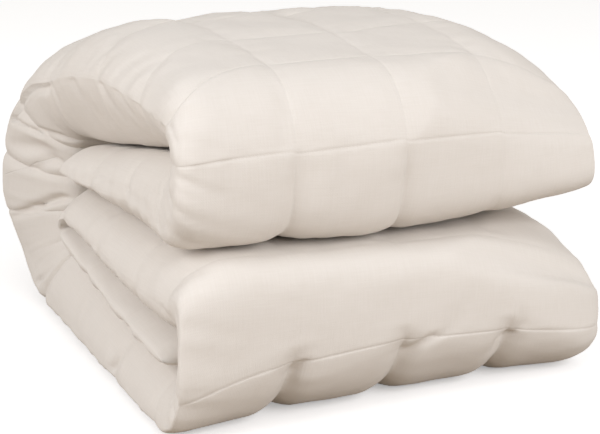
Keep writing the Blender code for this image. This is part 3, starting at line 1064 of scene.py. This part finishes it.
def empty_group(name: str, inputs: dict, outputs: tuple[str, ...]) -> bpy.types.NodeTree:
    """A node group with its named sockets.

    Args:
        name: The name of the group.
        inputs: The usual value of each number that it takes, or None for a position.
        outputs: The numbers that it puts out.

    Returns:
        The group, still without nodes.
    """
    tree = bpy.data.node_groups.new(name, "ShaderNodeTree")
    for socket, usual in inputs.items():
        kind = "NodeSocketVector" if usual is None else "NodeSocketFloat"
        made = tree.interface.new_socket(socket, in_out="INPUT", socket_type=kind)
        if usual is not None:
            made.default_value = usual
    for socket in outputs:
        tree.interface.new_socket(socket, in_out="OUTPUT", socket_type="NodeSocketFloat")
    return tree


@dataclass(frozen=True)
class WeaveGroup:
    """A node group for plain weave with uneven yarns.

    It takes a position on the cloth in metres and puts out the height of the threads and a
    tone that varies with the yarn.
    """

    name: str = "plain_weave"
    yarn_stretch: float = 0.045
    yarn_scale: float = 14.0
    yarn_detail: float = 2.0
    thread_height: float = 0.35

    def tree(self) -> bpy.types.NodeTree:
        """The node group, made once.

        Returns:
            The group, ready for use in a material.
        """
        if self.name in bpy.data.node_groups:
            return bpy.data.node_groups[self.name]
        tree = empty_group(
            self.name, {"Place": None, "Threads per metre": 1500.0, "Slub length": 0.018},
            ("Height", "Tone"))
        sketch = NodeSketch(tree)
        inputs = sketch.add("NodeGroupInput").outputs
        parts = sketch.add("ShaderNodeSeparateXYZ", {0: inputs["Place"]}).outputs
        turn = sketch.maths("MULTIPLY", inputs["Threads per metre"], math.pi)
        warp, weft = (sketch.maths("SINE", sketch.maths("MULTIPLY", parts[way], turn))
                      for way in (0, 1))
        tones = []
        for stretch in ((1.0, self.yarn_stretch, 0.0), (self.yarn_stretch, 1.0, 0.0)):
            scaled = sketch.add("ShaderNodeVectorMath", {0: inputs["Place"], 1: stretch},
                                operation="MULTIPLY")
            noise = sketch.add("ShaderNodeTexNoise", {
                "Vector": scaled.outputs[0],
                "Scale": sketch.maths("DIVIDE", self.yarn_scale, inputs["Slub length"]),
                "Detail": self.yarn_detail,
            })
            tones.append(noise.outputs[0])
        tone = sketch.maths("MULTIPLY", sketch.maths("ADD", *tones), 0.5)
        threads = sketch.maths("MULTIPLY", sketch.maths("MULTIPLY", warp, weft),
                               self.thread_height)
        sketch.add("NodeGroupOutput", {
            "Height": sketch.maths("ADD", threads, tone), "Tone": tone})
        return tree


@dataclass(frozen=True)
class StitchGroup:
    """A node group for a sewn line: the groove that the thread pulls in, and its stitches.

    It takes the distance to the line and the place along it, both in metres.
    """

    name: str = "sewn_line"
    groove: float = 0.0013
    thread: float = 0.0004

    def tree(self) -> bpy.types.NodeTree:
        """The node group, made once.

        Returns:
            The group, ready for use in a material.
        """
        if self.name in bpy.data.node_groups:
            return bpy.data.node_groups[self.name]
        tree = empty_group(
            self.name, {"Gap": 1.0, "Along": 0.0, "Stitches per metre": 320.0},
            ("Groove", "Thread"))
        sketch = NodeSketch(tree)
        inputs = sketch.add("NodeGroupInput").outputs

        def ridge(width: float) -> bpy.types.NodeSocket:
            """1 on the line, falling off as a bell of the given width."""
            share = sketch.maths("DIVIDE", inputs["Gap"], width)
            return sketch.maths("EXPONENT", sketch.maths(
                "MULTIPLY", sketch.maths("MULTIPLY", share, share), -1.0))

        count = sketch.maths("MULTIPLY", inputs["Along"], inputs["Stitches per metre"])
        beat = sketch.maths("SINE", sketch.maths("MULTIPLY", count, 2 * math.pi))
        lit = sketch.maths("ADD", sketch.maths("MULTIPLY", beat, 0.5), 0.5)
        sketch.add("NodeGroupOutput", {
            "Groove": ridge(self.groove),
            "Thread": sketch.maths("MULTIPLY", ridge(self.thread), lit),
        })
        return tree


@dataclass(frozen=True)
class ClothFinish:
    """Undyed ivory cloth of cotton and linen."""

    name: str = "ivory_cloth"
    light: tuple[float, float, float] = (0.765, 0.714, 0.660)
    dark: tuple[float, float, float] = (0.715, 0.659, 0.597)
    roughness: float = 0.92
    roughness_spread: float = 0.1
    specular: float = 0.25
    sheen: float = 0.12
    sheen_roughness: float = 0.45
    cloud_scale: float = 9.0
    cloud_detail: float = 3.0
    yarn_share: float = 0.75
    tone_low: float = 0.26
    tone_high: float = 0.72
    weave_bump: float = 0.35
    weave_depth: float = 0.0006
    seam_bump: float = 0.7
    groove_depth: float = 0.0005
    thread_share: float = 0.3
    column_share: float = 0.5
    edge_line: float = 0.0045
    edge_share: float = 0.6
    edge_least: float = 0.3

    def colour(self, sketch: NodeSketch, place: object, yarn: object) -> bpy.types.NodeSocket:
        """The colour of the cloth.

        Args:
            sketch: The material's nodes.
            place: The position on the cloth.
            yarn: The tone that varies with the yarn.

        Returns:
            The socket that holds the colour.
        """
        cloud = sketch.add("ShaderNodeTexNoise", {
            "Vector": place, "Scale": self.cloud_scale, "Detail": self.cloud_detail})
        blend = sketch.maths("ADD", sketch.maths("MULTIPLY", yarn, self.yarn_share),
                             sketch.maths("MULTIPLY", cloud.outputs[0], 1 - self.yarn_share))
        tone = sketch.add("ShaderNodeMapRange", {
            "Value": blend, "From Min": self.tone_low, "From Max": self.tone_high})
        return sketch.blend(tone.outputs[0], self.dark, self.light)

    def sewing(self, sketch: NodeSketch, place: object) -> bpy.types.NodeSocket:
        """The height of the cloth at its sewn lines.

        Args:
            sketch: The material's nodes.
            place: The position on the cloth.

        Returns:
            The socket that holds the height: below 0 in a groove.
        """
        ways = sketch.add("ShaderNodeSeparateXYZ", {0: place}).outputs
        shown = sketch.attribute("line")

        def sewn(gap: object, way: int) -> object:
            """The groove and the thread of a line, at a distance from it."""
            return sketch.add(
                "ShaderNodeGroup", {"Gap": sketch.maths("ABSOLUTE", gap), "Along": ways[way]},
                node_tree=StitchGroup().tree()).outputs

        grooves = []
        for name, way, strength in (("row_gap", 0, 1.0), ("column_gap", 1, self.column_share)):
            line = sewn(sketch.attribute(name), way)
            depth = sketch.maths("SUBTRACT", sketch.maths(
                "MULTIPLY", line["Thread"], self.thread_share), line["Groove"])
            grooves.append(sketch.maths("MULTIPLY", sketch.maths("MULTIPLY", depth, strength),
                                        shown))
        slack = sketch.attribute("slack")
        loose = sketch.maths("MULTIPLY", slack, slack)
        aside = sketch.maths("SUBTRACT", sketch.attribute("edge_gap"),
                             sketch.maths("MULTIPLY", loose, self.edge_line))
        share = sketch.maths("ADD", sketch.maths("MULTIPLY", loose, self.edge_share),
                             self.edge_least)
        faint = sketch.maths("MULTIPLY", sewn(aside, 1)["Groove"], share)
        return sketch.maths("ADD", sketch.maths("SUBTRACT", grooves[0], faint), grooves[1])

    def material(self) -> bpy.types.Material:
        """The material, made once.

        Returns:
            The material, with the weave and the sewn lines in it.
        """
        if self.name in bpy.data.materials:
            return bpy.data.materials[self.name]
        material = bpy.data.materials.new(self.name)
        material.use_nodes = True
        sketch = NodeSketch(material.node_tree, -1500)
        place = sketch.add("ShaderNodeUVMap", uv_map="cloth_map").outputs[0]
        weave = sketch.add("ShaderNodeGroup", {"Place": place},
                           node_tree=WeaveGroup().tree()).outputs
        threads = sketch.add("ShaderNodeBump", {
            "Strength": self.weave_bump, "Distance": self.weave_depth,
            "Height": weave["Height"]})
        seams = sketch.add("ShaderNodeBump", {
            "Strength": self.seam_bump, "Distance": self.groove_depth,
            "Height": self.sewing(sketch, place), "Normal": threads.outputs[0]})
        rough = sketch.maths("ADD", sketch.maths("MULTIPLY", weave["Tone"], self.roughness_spread),
                             self.roughness - self.roughness_spread / 2)
        sketch.fill(material.node_tree.nodes["Principled BSDF"], {
            "Base Color": self.colour(sketch, place, weave["Tone"]),
            "Roughness": rough,
            "Normal": seams.outputs[0],
            "Sheen Weight": self.sheen,
            "Sheen Roughness": self.sheen_roughness,
            "Specular IOR Level": self.specular,
        })
        return material


@dataclass(frozen=True)
class Lamp:
    """One large soft square light, its side in metres and its power in watts."""

    name: str
    place: tuple[float, float, float]
    size: float
    power: float


@dataclass
class Studio:
    """The plain floor, the soft lights and the camera at the photograph's angle."""

    floor_size: float = 14.0
    floor_roughness: float = 0.95
    floor_specular: float = 0.1
    floor_glow: float = 0.34
    floor_shown: tuple[float, float, float] = (0.95, 0.95, 0.95)
    floor_bounce: tuple[float, float, float] = (0.405, 0.34, 0.27)
    azimuth: float = 25.3
    elevation: float = 16.7
    camera_place: tuple[float, float, float] = (-0.668, -1.205, 0.582)
    lens: float = 101.3
    sensor: float = 36.0
    sky: float = 0.54
    sky_colour: tuple[float, float, float] = (1.0, 0.965, 0.92)
    lamp_colour: tuple[float, float, float] = (0.97, 1.0, 1.06)
    lamp_aim: tuple[float, float, float] = (0.0, 0.0, 0.15)
    lamps: tuple[Lamp, ...] = (
        Lamp("key_light", (0.75, -2.40, 1.45), 1.5, 43.5),
        Lamp("fill_light", (-2.3, -0.4, 1.25), 1.6, 36.0),
    )
    centre: tuple[float, float, float] = (0.0, 0.0, 0.0)

    def floor(self) -> None:
        """The pale floor, brighter to the camera than the light that it throws back."""
        half = self.floor_size / 2
        mesh = bpy.data.meshes.new("floor")
        mesh.from_pydata([(-half, -half, 0), (half, -half, 0), (half, half, 0),
                          (-half, half, 0)], [], [(0, 1, 2, 3)])
        material = bpy.data.materials.new("pale_floor")
        material.use_nodes = True
        sketch = NodeSketch(material.node_tree, -600)
        seen = sketch.add("ShaderNodeLightPath").outputs["Is Camera Ray"]
        sketch.fill(material.node_tree.nodes["Principled BSDF"], {
            "Base Color": sketch.blend(seen, self.floor_bounce, self.floor_shown),
            "Roughness": self.floor_roughness,
            "Specular IOR Level": self.floor_specular,
            "Emission Strength": sketch.maths("MULTIPLY", seen, self.floor_glow),
        })
        mesh.materials.append(material)
        floor = bpy.data.objects.new("floor", mesh)
        bpy.context.scene.collection.objects.link(floor)

    def light(self, lamp: Lamp) -> None:
        """Adds one lamp to the scene.

        Args:
            lamp: The lamp.
        """
        data = bpy.data.lights.new(lamp.name, "AREA")
        data.shape = "SQUARE"
        data.size = lamp.size
        data.energy = lamp.power
        data.color = self.lamp_colour
        light = bpy.data.objects.new(lamp.name, data)
        light.location = lamp.place
        towards = Vector(self.lamp_aim) - Vector(lamp.place)
        light.rotation_euler = towards.to_track_quat("-Z", "Y").to_euler()
        bpy.context.scene.collection.objects.link(light)

    def camera(self) -> None:
        """The camera, turned as the photograph is seen."""
        turn, tilt = math.radians(self.azimuth), math.radians(self.elevation)
        right = (math.cos(turn), -math.sin(turn), 0.0)
        up = (math.sin(turn) * math.sin(tilt), math.cos(turn) * math.sin(tilt), math.cos(tilt))
        back = (-math.sin(turn) * math.cos(tilt), -math.cos(turn) * math.cos(tilt),
                math.sin(tilt))
        data = bpy.data.cameras.new("camera")
        data.lens = self.lens
        data.sensor_width = self.sensor
        data.sensor_fit = "HORIZONTAL"
        camera = bpy.data.objects.new("camera", data)
        place = Vector(self.camera_place) + Vector(self.centre)
        axes = Matrix((right, up, back)).transposed().to_4x4()
        camera.matrix_world = Matrix.Translation(place) @ axes
        bpy.context.scene.collection.objects.link(camera)
        bpy.context.scene.camera = camera

    def build(self) -> None:
        """Sets up the floor, the sky, the lights and the camera."""
        self.floor()
        world = bpy.data.worlds.new("studio")
        world.use_nodes = True
        sky = world.node_tree.nodes["Background"]
        sky.inputs["Color"].default_value = (*self.sky_colour, 1.0)
        sky.inputs["Strength"].default_value = self.sky
        bpy.context.scene.world = world
        for lamp in self.lamps:
            self.light(lamp)
        self.camera()
        bpy.context.scene.view_settings.view_transform = "Standard"


def main() -> None:
    """Dresses the frame and writes how far the dressed part reaches."""
    logging.basicConfig(level=logging.INFO, format="%(message)s")
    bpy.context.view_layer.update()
    node_low, node_high = (np.array(corner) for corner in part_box("blanket"))
    log.info("blanket node from %s to %s", node_low.round(4), node_high.round(4))
    cover = QuiltedCover()
    even = cover.strip.surface()
    points = np.concatenate([even["outer"].reshape(-1, 3), even["inner"].reshape(-1, 3)])
    low, high = points.min(axis=0), points.max(axis=0)
    cover.centre = tuple(np.r_[-(low[:2] + high[:2]) / 2, -low[2]])
    built = cover.build(ClothFinish())
    log.info("%s built, %d faces", built.name, len(built.data.polygons))
    Studio(centre=cover.centre).build()
    log.info("studio built")


if __name__ == "__main__":
    main()
